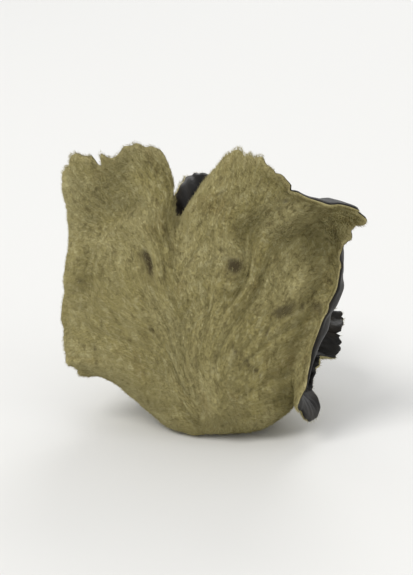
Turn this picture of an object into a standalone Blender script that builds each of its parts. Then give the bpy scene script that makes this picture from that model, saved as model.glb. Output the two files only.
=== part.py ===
"""Dried wood ear mushroom: one thin, cupped and crumpled ear, grown as a single piece, resting on its belly.

The ear is a flat rounded square, u from left to right and v from the low wall at the back (-1) to the tall
fan at the front (+1), folded up across v, lifted at both sides along u, then crumpled. Millimetres until the
last step. The felted outer face looks out of the cup and the smooth inner face into it.
"""

import math

import bmesh
import bpy
import numpy as np
from mathutils import Vector, noise

HALF_WIDTH = 14.2  # of the flat ear, from its middle to either side
ROUNDING = 0.42  # of the flat ear's corners: 0 leaves a square, 1 makes a disc
FRONT_BEND = 9.5  # length over which the front wall turns up from the belly
BACK_BEND = 13.0  # the same for the back wall
ROLL_START = 0.62  # share of a wall's length at which its margin begins to roll
SIDE_BEND = 9.0  # length over which a side lifts
SIDE_FLAT = 2.5  # flat strip along the middle, before a side lifts
SIDE_ROLL_START = 0.66
SWAY = -0.06  # sideways drift of the ear for each millimetre of height
FOOT_WIDTH = 0.55  # width factor at the belly
FAN_WIDTH = 0.98  # width factor of the fan above FAN_HEIGHT
FAN_HEIGHT = 13.0
WALL_MIDDLE = 1.0  # thickness of the flesh
WALL_MARGIN = 0.55
FLAT_DEPTH = 0.80  # how far the belly is pressed flat
BASE = (0.12, 0.28)  # where the ear was attached, as u, v
WARP = 2.6  # how far the whole ear wandered from its fold while drying
WARP_SIZE = 13.0
WARP_SEED = 60.0
KNOB_HEIGHT = 0.8
KNOB_RADIUS = 1.3
CELLS = 39  # along each side of the flat ear

# Across the ear: u; front length, lean and margin roll; back length, lean and margin roll; belly offset y, z.
# Lengths are in millimetres and angles in degrees. A lean over 90 tips the wall inwards, and a negative roll
# turns the margin outwards.
ACROSS = (
    (-1.00, 25.0, 89, 30, 14.5, 64, -10, 0.6, 0.6),
    (-0.72, 28.2, 91, 5, 17.5, 72, 10, 0.6, 0.3),
    (-0.46, 28.8, 94, -35, 19.5, 82, 40, 0.3, 0.0),
    (-0.25, 27.8, 97, -30, 22.5, 90, 10, 0.0, 0.0),
    (-0.10, 23.0, 96, 15, 24.5, 88, -40, 0.0, 0.0),
    (0.05, 27.4, 95, 20, 24.0, 84, -20, 0.0, 0.0),
    (0.36, 29.0, 93, -30, 20.0, 78, 35, 0.0, 0.0),
    (0.70, 28.2, 89, -105, 16.0, 76, 10, -0.3, 0.2),
    (1.00, 24.5, 84, -90, 12.5, 70, -20, -0.4, 0.6),
)
# Along the ear: v; left lift and margin roll; right lift and margin roll, in degrees.
ALONG = (
    (-1.0, 40, 40, 36, -10),
    (-0.5, 36, 0, 34, -20),
    (0.0, 34, -20, 34, -60),
    (0.3, 34, 0, 36, -170),
    (0.6, 22, 50, 30, -170),
    (1.0, 24, 70, 20, -60),
)
STEPS = 80  # of each arc's summing


def table(rows, column, at):
    """A column of a table as a smooth curve through its rows."""
    x = np.array([row[0] for row in rows], float)
    y = np.array([row[column] for row in rows], float)
    slope = np.gradient(y, x)
    k = np.clip(np.searchsorted(x, at, side="right") - 1, 0, len(x) - 2)
    gap = x[k + 1] - x[k]
    f = (at - x[k]) / gap
    return (
        (2 * f**3 - 3 * f**2 + 1) * y[k]
        + (f**3 - 2 * f**2 + f) * gap * slope[k]
        + (3 * f**2 - 2 * f**3) * y[k + 1]
        + (f**3 - f**2) * gap * slope[k + 1]
    )


def ease(f):
    f = np.clip(f, 0, 1)
    return f * f * (3 - 2 * f)


def fold(u, v):
    """The folded sheet's middle surface for flat positions u, v."""
    front = v > 0

    def wall(front_column):
        return np.where(front, table(ACROSS, front_column, u), table(ACROSS, front_column + 3, u))

    length, lean, roll = wall(1), np.radians(wall(2)), np.radians(wall(3))
    bend = np.where(front, FRONT_BEND, BACK_BEND)
    step = np.abs(v) * length / STEPS
    out, up, angle = np.zeros_like(u), np.zeros_like(u), np.zeros_like(u)
    for i in range(STEPS):
        s = (i + 0.5) * step
        margin = ease((s / length - ROLL_START) / (1 - ROLL_START) * 0.9)
        angle = lean * np.clip(s / bend, 0, 1) + roll * margin
        out += np.cos(angle) * step
        up += np.sin(angle) * step

    left = u < 0
    lift = np.radians(np.where(left, table(ALONG, 1, v), table(ALONG, 3, v)))
    roll = np.radians(np.where(left, table(ALONG, 2, v), table(ALONG, 4, v)))
    step = np.abs(u) * HALF_WIDTH / STEPS
    aside, inward = np.zeros_like(u), np.zeros_like(u)
    for i in range(STEPS):
        s = (i + 0.5) * step
        margin = ease((s / HALF_WIDTH - SIDE_ROLL_START) / (1 - SIDE_ROLL_START) * 0.9)
        slope = lift * ease((s - SIDE_FLAT) / SIDE_BEND) + roll * margin
        aside += np.cos(slope) * step
        inward += np.sin(slope) * step

    sign = np.where(front, -1.0, 1.0)
    y = sign * (out - np.sin(angle) * inward) + table(ACROSS, 7, u)
    z = up + np.cos(angle) * inward + table(ACROSS, 8, u)
    width = FOOT_WIDTH + (FAN_WIDTH - FOOT_WIDTH) * ease(z / FAN_HEIGHT)
    x = np.where(left, -aside, aside) * width + SWAY * z
    return np.stack([x, y, z], 1)


def outward(u, v):
    """Unit normals of the folded sheet, pointing out of the cup."""
    d = 1e-3
    normal = np.cross(fold(u + d, v) - fold(u - d, v), fold(u, v + d) - fold(u, v - d))
    return normal / np.linalg.norm(normal, axis=1)[:, None]


def drift(point, seed):
    """A direction that wanders smoothly from place to place."""
    return Vector([noise.noise(point + Vector((seed + 17.3 * k, 5.1 * k, -9.7 * k))) for k in range(3)])


def crumple(point, u, v, normal):
    """A point of the folded sheet, moved as the drying flesh warped, ruffled and wrinkled."""
    high = min(1.0, max(0.0, point.z / 5.0))
    warp = drift(point / WARP_SIZE, WARP_SEED) * WARP + drift(point / 5.0, 40.0) * 0.9

    edge = min(1.0, max(0.0, (max(abs(u), abs(v)) - 0.5) / 0.5)) ** 2
    ruffle = noise.noise(Vector((u * 2.9, v * 3.4, 4.4))) * 1.9
    ruffle += noise.noise(Vector((u * 6.4, v * 7.4, 9.4))) * 0.6

    du, dv = u - BASE[0], v - BASE[1]
    r = math.hypot(du, dv) + 1e-6
    wrinkle = noise.noise(Vector((du / r * 3.2, dv / r * 3.2, r * 1.2 + 2.2)))
    wrinkle *= 1.1 * min(1.0, r / 0.42) ** 2 * max(0.3, 1 - r / 1.1) * (0.35 + 0.65 * high)

    knob = math.hypot(du * HALF_WIDTH, dv * 25.0) / KNOB_RADIUS
    knob = KNOB_HEIGHT * math.exp(-knob * knob)
    return point + warp * (0.2 + 0.8 * high) + normal * (knob - ruffle * edge - wrinkle)


for old in list(bpy.data.objects):
    bpy.data.objects.remove(old)

bm = bmesh.new()
bmesh.ops.create_grid(bm, x_segments=CELLS, y_segments=CELLS, size=1.0)
grid = np.array([vert.co[:2] for vert in bm.verts])
x, y = grid[:, 0], grid[:, 1]
u = x * (1 - ROUNDING) + x * np.sqrt(1 - y * y / 2) * ROUNDING
v = y * (1 - ROUNDING) + y * np.sqrt(1 - x * x / 2) * ROUNDING
points, normals = fold(u, v), outward(u, v)
thickness = {}
for i, vert in enumerate(bm.verts):
    vert.co = crumple(Vector(points[i]), u[i], v[i], Vector(normals[i]))
    thickness[i] = 1 - max(abs(x[i]), abs(y[i])) ** 2
floor = min(vert.co.z for vert in bm.verts) + FLAT_DEPTH
for vert in bm.verts:
    vert.co.z = max(vert.co.z, floor)
    vert.co *= 0.001
for face in bm.faces:
    face.smooth = True
sheet = bpy.data.meshes.new("wood_ear")
bm.to_mesh(sheet)
bm.free()

ear = bpy.data.objects.new("wood_ear", sheet)
bpy.context.scene.collection.objects.link(ear)
group = ear.vertex_groups.new(name="flesh")
for i, weight in thickness.items():
    group.add([i], weight, "REPLACE")
wall = ear.modifiers.new("flesh", "SOLIDIFY")
wall.thickness = WALL_MIDDLE * 0.001
wall.offset = 0.0
wall.vertex_group = "flesh"
wall.thickness_vertex_group = WALL_MARGIN / WALL_MIDDLE
wall.use_even_offset = False

# The finished solid replaces the sheet, with the origin under the middle of its box, on the floor.
graph = bpy.context.evaluated_depsgraph_get()
solid = bpy.data.meshes.new_from_object(ear.evaluated_get(graph))
ear.modifiers.clear()
ear.data = solid
solid.name = "wood_ear"
corners = np.array([vert.co[:] for vert in solid.vertices])
low, high = corners.min(0), corners.max(0)
for vert in solid.vertices:
    vert.co -= Vector(((low[0] + high[0]) / 2, (low[1] + high[1]) / 2, low[2]))

felt = bpy.data.materials.new("dried_flesh")
felt.use_nodes = True
shader = felt.node_tree.nodes["Principled BSDF"]
shader.inputs["Base Color"].default_value = (0.33, 0.28, 0.18, 1.0)
shader.inputs["Roughness"].default_value = 0.85
solid.materials.clear()
solid.materials.append(felt)
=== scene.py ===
import math

import bmesh
import bpy
import numpy as np
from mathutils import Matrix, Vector, noise


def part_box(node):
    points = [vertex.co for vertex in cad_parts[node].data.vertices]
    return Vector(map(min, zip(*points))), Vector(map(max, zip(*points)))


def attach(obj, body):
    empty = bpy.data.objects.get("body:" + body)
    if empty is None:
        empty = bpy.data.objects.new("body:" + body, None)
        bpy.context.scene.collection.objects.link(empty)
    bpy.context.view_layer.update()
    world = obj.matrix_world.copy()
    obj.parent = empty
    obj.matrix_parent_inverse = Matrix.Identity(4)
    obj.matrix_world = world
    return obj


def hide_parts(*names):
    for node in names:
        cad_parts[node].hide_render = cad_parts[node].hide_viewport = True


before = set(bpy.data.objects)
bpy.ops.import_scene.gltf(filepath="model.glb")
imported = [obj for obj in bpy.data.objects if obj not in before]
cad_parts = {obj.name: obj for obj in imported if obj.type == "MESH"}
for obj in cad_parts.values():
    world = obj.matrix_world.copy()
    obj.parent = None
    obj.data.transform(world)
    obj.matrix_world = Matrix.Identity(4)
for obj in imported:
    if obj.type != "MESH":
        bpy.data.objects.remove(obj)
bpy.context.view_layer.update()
ear_low, ear_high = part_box("wood_ear")

# The fold of the ear, as in the solid: millimetres and degrees on a flat rounded square, u left to right and
# v from the low back wall (-1) to the tall fan (+1).
HALF_WIDTH = 14.2  # of the flat ear, from its middle to either side
HALF_LENGTH = 25.0  # the same towards front and back, where distances over the flat ear are counted
ROUNDING = 0.42  # of the flat ear's corners: 0 leaves a square, 1 makes a disc
FRONT_BEND = 9.5  # length over which the front wall turns up from the belly
BACK_BEND = 13.0  # the same for the back wall
ROLL_START = 0.62  # share of a wall's length at which its margin begins to roll
SIDE_BEND = 9.0  # length over which a side lifts
SIDE_FLAT = 2.5  # flat strip along the middle, before a side lifts
SIDE_ROLL_START = 0.66
SWAY = -0.06  # sideways drift of the ear for each millimetre of height
FOOT_WIDTH = 0.55  # width factor at the belly
FAN_WIDTH = 0.98  # width factor of the fan above FAN_HEIGHT
FAN_HEIGHT = 13.0
FLAT_DEPTH = 0.80  # how far the belly is pressed flat
BASE = (0.12, 0.28)  # where the ear was attached, as u, v
WARP = 2.6  # how far the whole ear wandered from its fold while drying
WARP_SIZE = 13.0
WARP_SEED = 60.0
KNOB_HEIGHT = 0.8
KNOB_RADIUS = 1.3
# Across the ear: u; front length, lean and margin roll; back length, lean and margin roll; belly offset y, z.
ACROSS = (
    (-1.00, 25.0, 89, 30, 14.5, 64, -10, 0.6, 0.6),
    (-0.72, 28.2, 91, 5, 17.5, 72, 10, 0.6, 0.3),
    (-0.46, 28.8, 94, -35, 19.5, 82, 40, 0.3, 0.0),
    (-0.25, 27.8, 97, -30, 22.5, 90, 10, 0.0, 0.0),
    (-0.10, 23.0, 96, 15, 24.5, 88, -40, 0.0, 0.0),
    (0.05, 27.4, 95, 20, 24.0, 84, -20, 0.0, 0.0),
    (0.36, 29.0, 93, -30, 20.0, 78, 35, 0.0, 0.0),
    (0.70, 28.2, 89, -105, 16.0, 76, 10, -0.3, 0.2),
    (1.00, 24.5, 84, -90, 12.5, 70, -20, -0.4, 0.6),
)
# Along the ear: v; left lift and margin roll; right lift and margin roll, in degrees.
ALONG = (
    (-1.0, 40, 40, 36, -10),
    (-0.5, 36, 0, 34, -20),
    (0.0, 34, -20, 34, -60),
    (0.3, 34, 0, 36, -170),
    (0.6, 22, 50, 30, -170),
    (1.0, 24, 70, 20, -60),
)
STEPS = 80  # of each arc's summing

# What the fine model adds to the solid, in millimetres where nothing else is said.
CELLS = 203  # along each side of the sheet
RIM_DISTANCE = 18.0  # from the middle of the flat ear to its rim, as edge distances count it
WALL_MIDDLE = 0.95
WALL_MARGIN = 0.34
MARGIN_THINNING = 7.0  # width of the band over which the wall thins towards the margin
MARGIN_ROUND = 0.30  # width of the band that rounds off the cut edge
THINNEST_RIM = 0.12  # squared share of the wall that is left at the very rim
FRILL_HEIGHT = 0.26
FRILL_SIZE = 2.8
FRILL_BAND = 3.5  # width of the margin that waves
NIBBLE = 0.022  # unevenness of the outline, like those below as a share of the way from the middle
FINE_NIBBLE = 0.010
TEAR_START = 0.26  # noise level past which the margin tears
TEAR_DEPTH = 0.17
DEEPEST_TEAR = -0.08
TEAR_REACH = 0.26
LOWEST_SKIPPED = 60  # vertices left out when the bottom of the belly is found
BELLY_GIVE = 0.06  # share of its relief that the pressed belly keeps
FRAY = 0.30  # how ragged a mark's outline is, as a share of its length
FRAY_SIZE = 0.7
SMALL_MARKS = 60
NET_DEPTH = 0.30
NET_BAND = 1.5  # width of the margin that the net of creases leaves smooth
BASE_X = BASE[0] * HALF_WIDTH
BASE_Y = BASE[1] * HALF_LENGTH

# The felt: fibre sizes in millimetres, angles in degrees, and clearances in metres.
FIBRES_A_PIECE = 60000
FIBRE_LENGTH = (0.17, 0.36)
FIBRE_RADIUS = (0.0100, 0.0150)
FIBRE_RISE = (26, 14)  # middle and spread
FIBRE_RISE_RANGE = (4, 75)
FIBRE_STRAY = 0.38  # spread of the fibres' headings, in radians
ROOT_DEPTH = 0.00003
BARE_BELOW = 0.00035  # no fibre grows on the part of the belly that rests
TIP_CLEARANCE = 0.00004  # of the fibre tips above the floor
BACK_ENDS = 0.22  # flat position v where the velvet of the back gives way to the fan's

# Marks on the fan: x and z of the standing ear, half length and half width in millimetres, slant in degrees,
# depth in millimetres, and darkness from 0 to 1.
FAN_MARKS = (
    (-4.5, 14.9, 0.58, 0.62, 0, 0.14, 0.92),
    (2.3, 14.9, 0.66, 0.52, 90, 0.14, 0.90),
    (6.0, 11.2, 1.15, 0.36, 4, 0.12, 0.80),
    (8.9, 11.4, 0.75, 0.30, -6, 0.10, 0.70),
    (3.1, 7.5, 0.75, 0.12, -40, 0.10, 0.85),
    (3.9, 6.8, 0.60, 0.11, -35, 0.08, 0.80),
    (2.3, 8.3, 0.55, 0.11, -55, 0.08, 0.75),
    (-4.4, 9.6, 0.26, 0.20, 0, 0.08, 0.80),
    (-9.0, 7.3, 0.28, 0.22, 20, 0.08, 0.75),
)


def table(rows, column, at):
    """A column of a table as a smooth curve through its rows."""
    x = np.array([row[0] for row in rows], float)
    y = np.array([row[column] for row in rows], float)
    slope = np.gradient(y, x)
    k = np.clip(np.searchsorted(x, at, side="right") - 1, 0, len(x) - 2)
    gap = x[k + 1] - x[k]
    f = (at - x[k]) / gap
    return (
        (2 * f**3 - 3 * f**2 + 1) * y[k]
        + (f**3 - 2 * f**2 + f) * gap * slope[k]
        + (3 * f**2 - 2 * f**3) * y[k + 1]
        + (f**3 - f**2) * gap * slope[k + 1]
    )


def ease(f):
    f = np.clip(f, 0, 1)
    return f * f * (3 - 2 * f)


def fold(u, v):
    """The folded sheet's middle surface for flat positions u, v."""
    front = v > 0

    def wall(front_column):
        return np.where(front, table(ACROSS, front_column, u), table(ACROSS, front_column + 3, u))

    length, lean, roll = wall(1), np.radians(wall(2)), np.radians(wall(3))
    bend = np.where(front, FRONT_BEND, BACK_BEND)
    step = np.abs(v) * length / STEPS
    out, up, angle = np.zeros_like(u), np.zeros_like(u), np.zeros_like(u)
    for i in range(STEPS):
        s = (i + 0.5) * step
        margin = ease((s / length - ROLL_START) / (1 - ROLL_START) * 0.9)
        angle = lean * np.clip(s / bend, 0, 1) + roll * margin
        out += np.cos(angle) * step
        up += np.sin(angle) * step

    left = u < 0
    lift = np.radians(np.where(left, table(ALONG, 1, v), table(ALONG, 3, v)))
    roll = np.radians(np.where(left, table(ALONG, 2, v), table(ALONG, 4, v)))
    step = np.abs(u) * HALF_WIDTH / STEPS
    aside, inward = np.zeros_like(u), np.zeros_like(u)
    for i in range(STEPS):
        s = (i + 0.5) * step
        margin = ease((s / HALF_WIDTH - SIDE_ROLL_START) / (1 - SIDE_ROLL_START) * 0.9)
        slope = lift * ease((s - SIDE_FLAT) / SIDE_BEND) + roll * margin
        aside += np.cos(slope) * step
        inward += np.sin(slope) * step

    sign = np.where(front, -1.0, 1.0)
    y = sign * (out - np.sin(angle) * inward) + table(ACROSS, 7, u)
    z = up + np.cos(angle) * inward + table(ACROSS, 8, u)
    width = FOOT_WIDTH + (FAN_WIDTH - FOOT_WIDTH) * ease(z / FAN_HEIGHT)
    x = np.where(left, -aside, aside) * width + SWAY * z
    return np.stack([x, y, z], 1)


def outward(u, v):
    """Unit normals of the folded sheet, pointing out of the cup."""
    d = 1e-3
    normal = np.cross(fold(u + d, v) - fold(u - d, v), fold(u, v + d) - fold(u, v - d))
    return normal / np.linalg.norm(normal, axis=1)[:, None]


def drift(point, seed):
    """A direction that wanders smoothly from place to place."""
    return Vector([noise.noise(point + Vector((seed + 17.3 * k, 5.1 * k, -9.7 * k))) for k in range(3)])


def crumple(point, u, v, normal):
    """A point of the folded sheet, moved as the drying flesh warped, ruffled and wrinkled."""
    high = min(1.0, max(0.0, point.z / 5.0))
    warp = drift(point / WARP_SIZE, WARP_SEED) * WARP + drift(point / 5.0, 40.0) * 0.9

    edge = min(1.0, max(0.0, (max(abs(u), abs(v)) - 0.5) / 0.5)) ** 2
    ruffle = noise.noise(Vector((u * 2.9, v * 3.4, 4.4))) * 1.9
    ruffle += noise.noise(Vector((u * 6.4, v * 7.4, 9.4))) * 0.6

    du, dv = u - BASE[0], v - BASE[1]
    r = math.hypot(du, dv) + 1e-6
    wrinkle = noise.noise(Vector((du / r * 3.2, dv / r * 3.2, r * 1.2 + 2.2)))
    wrinkle *= 1.1 * min(1.0, r / 0.42) ** 2 * max(0.3, 1 - r / 1.1) * (0.35 + 0.65 * high)

    knob = math.hypot(du * HALF_WIDTH, dv * HALF_LENGTH) / KNOB_RADIUS
    knob = KNOB_HEIGHT * math.exp(-knob * knob)
    return point + warp * (0.2 + 0.8 * high) + normal * (knob - ruffle * edge - wrinkle)


def frill(x, y, edge):
    """How far the thin margin waves in and out at flat millimetres x, y."""
    wave = noise.noise(Vector((x / FRILL_SIZE, y / FRILL_SIZE, 46.0)))
    return wave * FRILL_HEIGHT * max(0.0, 1 - edge / FRILL_BAND) ** 2


def crinkle(x, y, high):
    """Depth of both faces' fine wrinkles at flat millimetres x, y: pleats and grain that leave the base."""
    dx, dy = x - BASE_X, y - BASE_Y
    r = math.hypot(dx, dy) + 1e-6
    pleat = noise.noise(Vector((dx / r * 6.5, dy / r * 6.5, r / 7.0 + 3.0)))
    pleat = (0.35 - abs(pleat)) * 0.46 * min(1.0, r / 6.0) * max(0.22, 1 - r / 24.0)
    grain = noise.noise(Vector((dx / r * 15.0, dy / r * 15.0, r / 4.5 + 8.0))) * 0.10 * min(1.0, r / 7.0)
    shrivel = noise.noise(Vector((x / 2.1, y / 2.1, 21.0))) * 0.15 + noise.noise(Vector((x, y, 33.0))) * 0.07
    return (pleat + grain + shrivel) * (0.3 + 0.7 * high)


# Ear: the flat sheet, folded and crumpled, then given its thickness.
bm = bmesh.new()
bmesh.ops.create_grid(bm, x_segments=CELLS, y_segments=CELLS, size=1.0)
grid = np.array([vert.co[:2] for vert in bm.verts])
gx, gy = grid[:, 0], grid[:, 1]
u = gx * (1 - ROUNDING) + gx * np.sqrt(1 - gy * gy / 2) * ROUNDING
v = gy * (1 - ROUNDING) + gy * np.sqrt(1 - gx * gx / 2) * ROUNDING
inset = 1 - np.maximum(np.abs(gx), np.abs(gy))
edge_mm = inset * RIM_DISTANCE

# The ragged outline: nibbles and small tears draw the margin in a little, along straight lines to the middle.
to_rim = np.maximum(1 - inset, 0.1)
ragged = np.array([
    noise.noise(Vector((a * 9.0, b * 13.0, 2.0))) * NIBBLE
    + noise.noise(Vector((a * 22.0, b * 34.0, 5.0))) * FINE_NIBBLE
    - max(0.0, noise.noise(Vector((a * 11.0, b * 15.0, 61.0))) - TEAR_START) * TEAR_DEPTH
    for a, b in zip(gx / to_rim, gy / to_rim)
])
pull = 1 + np.maximum(ragged, DEEPEST_TEAR) * np.clip(1 - inset / TEAR_REACH, 0, 1) ** 2
u, v = u * pull, v * pull
points, normals = fold(u, v), outward(u, v)
flat = np.stack([u * HALF_WIDTH, v * HALF_LENGTH], 1)
middle = np.empty_like(points)
creases = np.empty(len(u))
for i in range(len(u)):
    normal = Vector(normals[i])
    point = crumple(Vector(points[i]), u[i], v[i], normal)
    above_belly = min(1.0, max(0.0, point.z / 4.0))
    creases[i] = crinkle(*flat[i], above_belly)
    middle[i] = point - normal * frill(*flat[i], edge_mm[i]) * (0.3 + 0.7 * above_belly)
floor_z = np.sort(middle[:, 2])[LOWEST_SKIPPED] + FLAT_DEPTH
middle[:, 2] = np.maximum(middle[:, 2], floor_z + BELLY_GIVE * (middle[:, 2] - floor_z))
for vert, spot in zip(bm.verts, middle):
    vert.co = Vector(spot) * 0.001
for face in bm.faces:
    face.smooth = True
mesh = bpy.data.meshes.new("sheet")
bm.to_mesh(mesh)
bm.free()
sheet = bpy.data.objects.new("sheet", mesh)
bpy.context.scene.collection.objects.link(sheet)

flesh = (WALL_MARGIN + (WALL_MIDDLE - WALL_MARGIN) * ease(edge_mm / MARGIN_THINNING)) / WALL_MIDDLE
flesh *= np.sqrt(np.clip(1 - (1 - np.clip(edge_mm / MARGIN_ROUND, 0, 1)) ** 2, THINNEST_RIM, 1))
group = sheet.vertex_groups.new(name="flesh")
for i, weight in enumerate(flesh):
    group.add([i], float(weight), "REPLACE")
wall = sheet.modifiers.new("flesh", "SOLIDIFY")
wall.thickness = WALL_MIDDLE * 0.001
wall.offset = 0.0
wall.vertex_group = "flesh"
wall.thickness_vertex_group = 0.0
wall.use_even_offset = False
graph = bpy.context.evaluated_depsgraph_get()
mesh = bpy.data.meshes.new_from_object(sheet.evaluated_get(graph))
mesh.name = "ear"
bpy.data.objects.remove(sheet)
ear = bpy.data.objects.new("ear", mesh)
bpy.context.scene.collection.objects.link(ear)

count = len(u)
place = np.empty(len(mesh.vertices) * 3, np.float32)
mesh.vertices.foreach_get("co", place)
place = place.reshape(-1, 3).astype(float) * 1000
first_is_outer = ((place[:count] - place[count:]) * normals).sum() > 0
outer = slice(0, count) if first_is_outer else slice(count, 2 * count)
inner = slice(count, 2 * count) if first_is_outer else slice(0, count)


def steep(values):
    """How values on the square of flat positions change along its two directions."""
    square = values.reshape(CELLS + 1, CELLS + 1, -1)
    return np.gradient(square, axis=1).reshape(count, -1), np.gradient(square, axis=0).reshape(count, -1)


def facing(face, away):
    """Unit normals of one face of the ear, on the side that the directions away point to."""
    normal = np.cross(*steep(place[face]))
    normal /= np.linalg.norm(normal, axis=1)[:, None] + 1e-12
    return normal * np.sign((normal * away).sum())


# Both faces wrinkle together, and then the whole ear is set where the solid stands.
outer_normal = facing(outer, normals)
inner_normal = facing(inner, -normals)
place[outer] -= outer_normal * creases[:, None]
place[inner] += inner_normal * creases[:, None]
lowest, highest = place.min(0), place.max(0)
place -= ((lowest[0] + highest[0]) / 2, (lowest[1] + highest[1]) / 2, lowest[2])
place += np.array(((ear_low.x + ear_high.x) / 2, (ear_low.y + ear_high.y) / 2, ear_low.z)) * 1000

# Marks on the felted face, as pits with dark floors. FAN_MARKS go to the nearest place on the fan, and the
# small ones are scattered.
middle_x = (ear_low.x + ear_high.x) * 500
fan_x, fan_z = place[outer][:, 0] - middle_x, place[outer][:, 2]
marks = []
for mark_x, mark_z, *shape in FAN_MARKS:
    off = np.hypot(fan_x - mark_x, fan_z - mark_z) + np.where(v > 0.05, 0, 1000)
    marks.append((*flat[np.argmin(off)], *shape))
rng = np.random.default_rng(11)
for _ in range(SMALL_MARKS):
    marks.append((
        rng.uniform(-14, 14), rng.uniform(-22, 24),  # place on the flat ear
        rng.uniform(0.16, 0.42), rng.uniform(0.10, 0.20),  # half length and half width
        rng.uniform(0, 180), rng.uniform(0.03, 0.09), rng.uniform(0.25, 0.75),  # turn, depth and darkness
    ))
fray = FRAY * np.array([
    [noise.noise(Vector((a / FRAY_SIZE, b / FRAY_SIZE, k))) for k in (51.0, 57.0)] for a, b in flat
])
hollow = np.zeros(count)
sunk = np.zeros(count)
for mark_x, mark_y, long, short, slant, depth, dark in marks:
    cos, sin = math.cos(math.radians(slant)), math.sin(math.radians(slant))
    dx, dy = flat[:, 0] - mark_x + fray[:, 0] * long, flat[:, 1] - mark_y + fray[:, 1] * long
    reach = np.hypot((dx * cos + dy * sin) / long, (dy * cos - dx * sin) / short)
    sunk = np.maximum(sunk, depth * np.exp(-(reach**2)))
    hollow = np.maximum(hollow, dark * np.exp(-((reach * 0.85) ** 4)))
place[outer] -= outer_normal * sunk[:, None]

# The dark face dries into a net of low, sharp creases.
net = np.array([abs(noise.noise(Vector((a / 2.6, b / 2.6, 71.0)))) * 1.3
                + abs(noise.noise(Vector((a / 1.1, b / 1.1, 75.0)))) * 0.6 for a, b in flat])
net = np.clip(net, 0, 0.5) - 0.25
place[inner] += inner_normal * (net * NET_DEPTH * ease(edge_mm / NET_BAND))[:, None]
mesh.vertices.foreach_set("co", (place * 0.001).astype(np.float32).ravel())
mesh.update()


def note(target, name, values):
    """Keeps three numbers for each vertex of a mesh, for its finish to read."""
    layer = target.attributes.new(name, "FLOAT_VECTOR", "POINT")
    layer.data.foreach_set("vector", values.astype(np.float32).ravel())


# "lie" holds the flat place, and 1 on the inner face. "state" holds distance to the edge, a mark's darkness
# and the crease depth, which the finishes also turn into painted shade in the creases.
lie = np.zeros((2 * count, 3))
lie[outer, :2] = lie[inner, :2] = flat
lie[inner, 2] = 1.0
note(mesh, "lie", lie)
state = np.zeros((2 * count, 3))
state[outer, 0] = state[inner, 0] = edge_mm
state[outer, 1] = hollow
state[outer, 2] = state[inner, 2] = creases
note(mesh, "state", state)

# A flat map of the two faces side by side, and the cut edge as a strip above them.
bake_map = mesh.uv_layers.new(name="OFBake")
corner_vertex = np.empty(len(mesh.loops), np.int32)
mesh.loops.foreach_get("vertex_index", corner_vertex)
at = corner_vertex % count
is_second = corner_vertex >= count
across = (gx[at] + 1) / 2
up_the_map = (gy[at] + 1) / 2
spread = np.stack([0.01 + 0.475 * across + 0.5 * is_second, 0.01 + 0.93 * up_the_map], 1)
bearing = np.arctan2(gy, gx)[at] / (2 * math.pi) + 0.5
face_of = np.repeat(np.arange(len(mesh.polygons)), [len(p.vertices) for p in mesh.polygons])
some_second = np.zeros(len(mesh.polygons), int)
np.add.at(some_second, face_of, is_second.astype(int))
on_cut_edge = (some_second > 0) & (some_second < np.bincount(face_of))
furthest = np.zeros(len(mesh.polygons))
np.maximum.at(furthest, face_of, bearing)
wrapped = bearing + (furthest[face_of] - bearing > 0.5)
strip = np.stack([0.01 + 0.95 * wrapped, 0.96 + 0.03 * is_second], 1)
spread = np.where(on_cut_edge[face_of][:, None], strip, spread)
bake_map.data.foreach_set("uv", spread.astype(np.float32).ravel())


class Wire:
    """A number or colour inside a finish, with the sums it can take part in."""

    def __init__(self, finish, socket):
        self.finish, self.socket = finish, socket

    def sum(self, operation, a, b):
        return self.finish.node("ShaderNodeMath", {"operation": operation}, {0: a, 1: b})

    def __add__(self, other):
        return self.sum("ADD", self, other)

    def __radd__(self, other):
        return self.sum("ADD", other, self)

    def __sub__(self, other):
        return self.sum("SUBTRACT", self, other)

    def __rsub__(self, other):
        return self.sum("SUBTRACT", other, self)

    def __mul__(self, other):
        return self.sum("MULTIPLY", self, other)

    def __rmul__(self, other):
        return self.sum("MULTIPLY", other, self)

    def __truediv__(self, other):
        return self.sum("DIVIDE", self, other)


class Finish:
    """A material, built from nodes."""

    def __init__(self, name):
        self.material = bpy.data.materials.new(name)
        self.material.use_nodes = True
        self.tree = self.material.node_tree
        self.shader = self.tree.nodes["Principled BSDF"]

    def node(self, kind, settings, inputs, output=0):
        made = self.tree.nodes.new(kind)
        for key, value in settings.items():
            setattr(made, key, value)
        for key, value in inputs.items():
            if isinstance(value, Wire):
                self.tree.links.new(value.socket, made.inputs[key])
            else:
                made.inputs[key].default_value = value
        return Wire(self, made.outputs[output])

    def attribute(self, name):
        return self.node("ShaderNodeAttribute", {"attribute_name": name}, {}, "Vector")

    def split(self, vector):
        parts = self.node("ShaderNodeSeparateXYZ", {}, {0: vector}).socket.node
        return [Wire(self, socket) for socket in parts.outputs]

    def join(self, x, y, z):
        return self.node("ShaderNodeCombineXYZ", {}, {0: x, 1: y, 2: z})

    def speckle(self, vector, scale, detail=2.0, rough=0.5, twist=0.0):
        return self.node("ShaderNodeTexNoise", {}, {"Vector": vector, "Scale": scale, "Detail": detail,
                                                   "Roughness": rough, "Distortion": twist}, "Fac")

    def step(self, value, low, high):
        return self.node("ShaderNodeMapRange", {"interpolation_type": "SMOOTHSTEP"},
                         {"Value": value, "From Min": low, "From Max": high})

    def blend(self, share, a, b):
        """Colour a turned towards colour b by a share."""
        a, b = ((*colour, 1.0) if isinstance(colour, tuple) else colour for colour in (a, b))
        return self.node("ShaderNodeMix", {"data_type": "RGBA"}, {0: share, 6: a, 7: b}, 2)

    def set(self, **values):
        for key, value in values.items():
            socket = self.shader.inputs[key.replace("_", " ")]
            if isinstance(value, Wire):
                self.tree.links.new(value.socket, socket)
            else:
                socket.default_value = value


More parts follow.
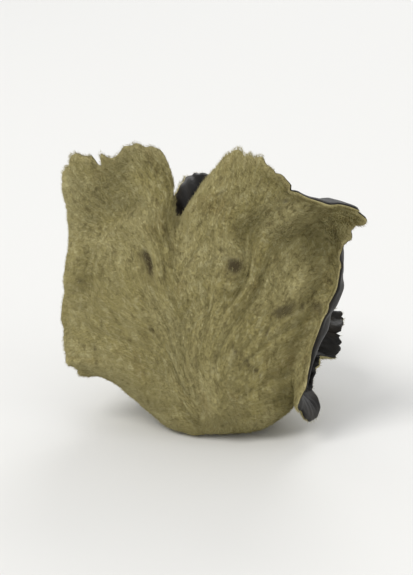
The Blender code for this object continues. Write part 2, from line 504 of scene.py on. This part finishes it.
def rays(finish, x, y):
    """Distance from the base in millimetres, and the direction away from it, over the flat ear."""
    dx, dy = x - BASE_X, y - BASE_Y
    r = finish.node("ShaderNodeMath", {"operation": "SQRT"}, {0: dx * dx + dy * dy + 0.01})
    return r, dx / r, dy / r


def felt_colour(finish, x, y, crease):
    """The felted face: olive beige in fine rays, clouded with browner patches and flecked pale and brown,
    with painted shade darkening its creases.
    """
    r, cx, cy = rays(finish, x, y)
    flat_place = finish.join(x, y, 0.0)
    ray = finish.speckle(finish.join(cx * 30.0, cy * 30.0, r * 0.42), 1.0, 3.0, 0.62)
    hair = finish.speckle(finish.join(cx * 90.0, cy * 90.0, r * 1.1), 1.0, 2.0, 0.6)
    cloud = finish.speckle(flat_place, 0.16, 4.0, 0.62, 0.6)
    patch = finish.speckle(finish.join(x, y, 4.0), 0.42, 4.0, 0.65, 0.4)
    fleck = finish.speckle(finish.join(x, y * 0.6, 9.0), 2.6, 3.0, 0.66, 0.3)
    colour = finish.blend(finish.step(cloud, 0.36, 0.66), (0.262, 0.227, 0.089), (0.337, 0.299, 0.141))
    colour = finish.blend(finish.step(patch, 0.54, 0.74) * 0.50, colour, (0.219, 0.165, 0.060))
    colour = finish.blend(finish.step(ray, 0.42, 0.66) * 0.34, colour, (0.185, 0.157, 0.060))
    colour = finish.blend(finish.step(hair, 0.45, 0.75) * 0.40, colour, (0.464, 0.426, 0.239))
    colour = finish.blend(finish.step(fleck, 0.47, 0.34) * 0.52, colour, (0.456, 0.417, 0.235))
    colour = finish.blend(finish.step(fleck, 0.54, 0.68) * 0.62, colour, (0.095, 0.072, 0.027))
    # Painted shade: the felt is darkened where the crease depth sinks, standing in for shadow in the creases.
    colour = finish.blend(finish.step(crease, -0.04, -0.24) * 0.30, colour, (0.129, 0.103, 0.038))
    return colour


ROUGH_FELT = 0.93

# Finish of the flesh: felt ground outside, smooth near-black inside, and the pale cut edge between them.
flesh_finish = Finish("dried_ear")
x, y, is_inner = flesh_finish.split(flesh_finish.attribute("lie"))
edge, pit, crease = flesh_finish.split(flesh_finish.attribute("state"))
felt = felt_colour(flesh_finish, x, y, crease)
felt = flesh_finish.blend(pit, felt, (0.022, 0.014, 0.007))
here = flesh_finish.node("ShaderNodeTexCoord", {}, {}, "Object")
bloom = flesh_finish.speckle(here, 260.0, 5.0, 0.7, 0.5)
vein = flesh_finish.speckle(here, 700.0, 3.0, 0.6, 1.2)
dust = flesh_finish.speckle(here, 3200.0, 2.0, 0.7)
bloomed = flesh_finish.step(bloom, 0.42, 0.72)
skin = flesh_finish.blend(bloomed, (0.0040, 0.0034, 0.0026), (0.0215, 0.0160, 0.0100))
dusted = flesh_finish.step(dust, 0.60, 0.80) * flesh_finish.step(bloom, 0.40, 0.65) * 0.60
skin = flesh_finish.blend(dusted, skin, (0.095, 0.078, 0.048))
rim_noise = flesh_finish.speckle(here, 1500.0, 3.0, 0.6)
turned = flesh_finish.step(is_inner + (rim_noise - 0.5) * 0.25, 0.62, 0.80)
edge_pale = flesh_finish.step(edge, 0.55, 0.05)
felt = flesh_finish.blend(edge_pale * 0.55, felt, (0.404, 0.353, 0.181))
colour = flesh_finish.blend(turned, felt, skin)
rough_skin = 0.26 + bloom * 0.40
rough = ROUGH_FELT - turned * (ROUGH_FELT - rough_skin)
grain_bump = flesh_finish.speckle(here, 2600.0, 3.0, 0.7)
relief = grain_bump * (1.0 - turned) + vein * turned * 0.9
flesh_finish.set(
    Base_Color=colour,
    Roughness=rough,
    Specular_IOR_Level=0.20,
    Normal=flesh_finish.node("ShaderNodeBump", {}, {"Strength": 0.55, "Distance": 0.00012, "Height": relief}),
)
mesh.materials.clear()
mesh.materials.append(flesh_finish.material)
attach(ear, "root")
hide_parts("wood_ear")


# The way the felt lies: away from the base, over the folded surface.
skin_place = place[outer] * 0.001
place_i, place_j = steep(skin_place)
flat_i, flat_j = steep(flat)
from_base = flat - np.array([BASE_X, BASE_Y])
from_base /= np.linalg.norm(from_base, axis=1)[:, None] + 1e-6
flat_cell = flat_i[:, 0] * flat_j[:, 1] - flat_i[:, 1] * flat_j[:, 0]
flat_cell = np.where(np.abs(flat_cell) < 1e-9, 1e-9, flat_cell)


def over_surface(way):
    """A flat direction, carried onto the folded surface as a unit vector."""
    a = (way[:, 0] * flat_j[:, 1] - way[:, 1] * flat_j[:, 0]) / flat_cell
    b = (flat_i[:, 0] * way[:, 1] - flat_i[:, 1] * way[:, 0]) / flat_cell
    found = place_i * a[:, None] + place_j * b[:, None]
    return found / (np.linalg.norm(found, axis=1)[:, None] + 1e-12)


along_grain = over_surface(from_base)
across_grain = over_surface(np.stack([-from_base[:, 1], from_base[:, 0]], 1))
skin_normal = facing(outer, normals)
cell_area = np.linalg.norm(np.cross(place_i, place_j), axis=1)
swirl = np.array([
    noise.noise(Vector((a / 1.7, b / 1.7, 77.0))) + 0.5 * noise.noise(Vector((a / 0.6, b / 0.6, 81.0)))
    for a, b in flat
])
thin = np.array([noise.noise(Vector((a / 2.6, b / 2.6, 91.0))) for a, b in flat])
cover = np.clip(1.15 - 1.1 * np.clip(thin, 0, 1), 0.25, 1.0) * (1 - 0.85 * np.clip(hollow * 1.6, 0, 1))

velvet_finish = Finish("velvet")
x, y, chance = velvet_finish.split(velvet_finish.attribute("lie"))
tip, _, crease = velvet_finish.split(velvet_finish.attribute("state"))
# The fibres take the felt's colours, with the painted shade in the creases.
colour = felt_colour(velvet_finish, x, y, crease)
colour = velvet_finish.blend(0.10 + tip * 0.22, colour, (0.430, 0.387, 0.197))
colour = velvet_finish.blend(velvet_finish.step(chance, 0.66, 1.0) * 0.60, colour, (0.120, 0.093, 0.035))
velvet_finish.set(Base_Color=colour, Roughness=0.9, Specular_IOR_Level=0.2)


def velvet(name, kept, fibres, seed):
    """Short felt fibres, leaning away from the base, on the part of the outer face where kept holds."""
    dice = np.random.default_rng(seed)
    odds = cell_area * cover * kept * (skin_place[:, 2] > BARE_BELOW)
    root = dice.choice(count, size=fibres, p=odds / odds.sum())
    nudge = dice.uniform(-0.5, 0.5, (fibres, 2))
    start = skin_place[root] + place_i[root] * nudge[:, :1] + place_j[root] * nudge[:, 1:]
    flat_start = flat[root] + flat_i[root] * nudge[:, :1] + flat_j[root] * nudge[:, 1:]
    yaw = swirl[root] * 1.1 + dice.normal(0, FIBRE_STRAY, fibres)
    rise = np.radians(np.clip(dice.normal(*FIBRE_RISE, fibres), *FIBRE_RISE_RANGE))
    length = dice.uniform(*FIBRE_LENGTH, fibres) * 0.001
    radius = dice.uniform(*FIBRE_RADIUS, fibres) * 0.001
    lean = along_grain[root] * np.cos(yaw)[:, None] + across_grain[root] * np.sin(yaw)[:, None]
    way = lean * np.cos(rise)[:, None] + skin_normal[root] * np.sin(rise)[:, None]
    way /= np.linalg.norm(way, axis=1)[:, None]
    side_a = np.cross(way, skin_normal[root])
    side_a /= np.linalg.norm(side_a, axis=1)[:, None] + 1e-12
    side_b = np.cross(way, side_a)
    start = start - way * ROOT_DEPTH
    ring = [start + (side_a * math.cos(a) + side_b * math.sin(a)) * radius[:, None]
            for a in (0.0, 2 * math.pi / 3, 4 * math.pi / 3)]
    end = start + way * length[:, None]
    end[:, 2] = np.maximum(end[:, 2], TIP_CLEARANCE)
    corners = np.stack(ring + [end], 1).reshape(-1, 3)
    first = np.arange(fibres)[:, None] * 4
    faces = np.concatenate([first + np.array(c) for c in ((0, 1, 3), (1, 2, 3), (2, 0, 3))], 1).reshape(-1, 3)
    fuzz_mesh = bpy.data.meshes.new(name)
    fuzz_mesh.from_pydata(corners.tolist(), [], faces.tolist())
    luck = dice.uniform(0, 1, fibres)
    fibre_lie = np.repeat(np.stack([flat_start[:, 0], flat_start[:, 1], luck], 1), 4, axis=0)
    fibre_state = np.repeat(np.stack([np.zeros(fibres), hollow[root], creases[root]], 1), 4, axis=0)
    fibre_state[3::4, 0] = 1.0
    note(fuzz_mesh, "lie", fibre_lie)
    note(fuzz_mesh, "state", fibre_state)
    flat_way = from_base[root] * np.cos(yaw)[:, None]
    flat_way += np.stack([-from_base[root][:, 1], from_base[root][:, 0]], 1) * np.sin(yaw)[:, None]
    across_way = np.stack([-flat_way[:, 1], flat_way[:, 0]], 1) * 0.03
    spots = [flat_start - across_way, flat_start + across_way, flat_start + flat_way * 0.3]
    spots = np.stack(spots, 1) / np.array([HALF_WIDTH * 2.2, HALF_LENGTH * 2.2]) + 0.5
    fibre_map = fuzz_mesh.uv_layers.new(name="OFBake")
    fibre_map.data.foreach_set("uv", np.repeat(spots, 3, axis=0).astype(np.float32).ravel())
    fuzz_mesh.materials.append(velvet_finish.material)
    fuzz = bpy.data.objects.new(name, fuzz_mesh)
    bpy.context.scene.collection.objects.link(fuzz)
    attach(fuzz, "root")


velvet("velvet_fan_left", (v > BACK_ENDS) & (u < 0.0), FIBRES_A_PIECE, 21)
velvet("velvet_fan_right", (v > BACK_ENDS) & (u >= 0.0), FIBRES_A_PIECE, 22)
velvet("velvet_back", v <= BACK_ENDS, FIBRES_A_PIECE, 23)

# Camera, floor and light.
ELEVATION = math.radians(16)
DISTANCE = 0.112
AIM_DROP = 0.0006  # how far below the ear's centre the camera looks
scene = bpy.context.scene
centre = (ear_low + ear_high) / 2
camera = bpy.data.objects.new("camera", bpy.data.cameras.new("camera"))
scene.collection.objects.link(camera)
scene.camera = camera
camera.data.lens = 85
camera.data.sensor_width = 36
camera.data.clip_start = 0.005
aim = centre + Vector((0.0, 0.0, -AIM_DROP))
away = Vector((0.0, -math.cos(ELEVATION), math.sin(ELEVATION)))
camera.location = aim + away * DISTANCE
camera.rotation_euler = (-away).to_track_quat("-Z", "Y").to_euler()

bm = bmesh.new()
bmesh.ops.create_grid(bm, x_segments=1, y_segments=1, size=6.0)
floor_mesh = bpy.data.meshes.new("floor")
bm.to_mesh(floor_mesh)
bm.free()
floor = bpy.data.objects.new("floor", floor_mesh)
scene.collection.objects.link(floor)
floor_finish = Finish("pale_floor")
floor_finish.set(Base_Color=(0.71, 0.71, 0.70, 1.0), Roughness=0.8)
floor_mesh.materials.append(floor_finish.material)


def soft_light(name, place, size, power, colour):
    lamp = bpy.data.lights.new(name, "AREA")
    lamp.shape = "DISK"
    lamp.size = size
    lamp.energy = power
    lamp.color = colour
    holder = bpy.data.objects.new(name, lamp)
    scene.collection.objects.link(holder)
    holder.location = centre + Vector(place)
    holder.rotation_euler = (-Vector(place)).to_track_quat("-Z", "Y").to_euler()


soft_light("key", (-0.52, -0.62, 0.86), 0.50, 7.8, (1.0, 0.985, 0.96))
soft_light("fill", (0.80, -0.50, 0.36), 0.70, 0.9, (0.99, 0.99, 1.0))
soft_light("back", (0.20, 0.80, 0.70), 0.60, 2.6, (1.0, 1.0, 1.0))
world = bpy.data.worlds.new("studio")
scene.world = world
world.use_nodes = True
world.node_tree.nodes["Background"].inputs[0].default_value = (0.95, 0.95, 0.945, 1.0)
world.node_tree.nodes["Background"].inputs[1].default_value = 0.80
scene.view_settings.view_transform = "Standard"
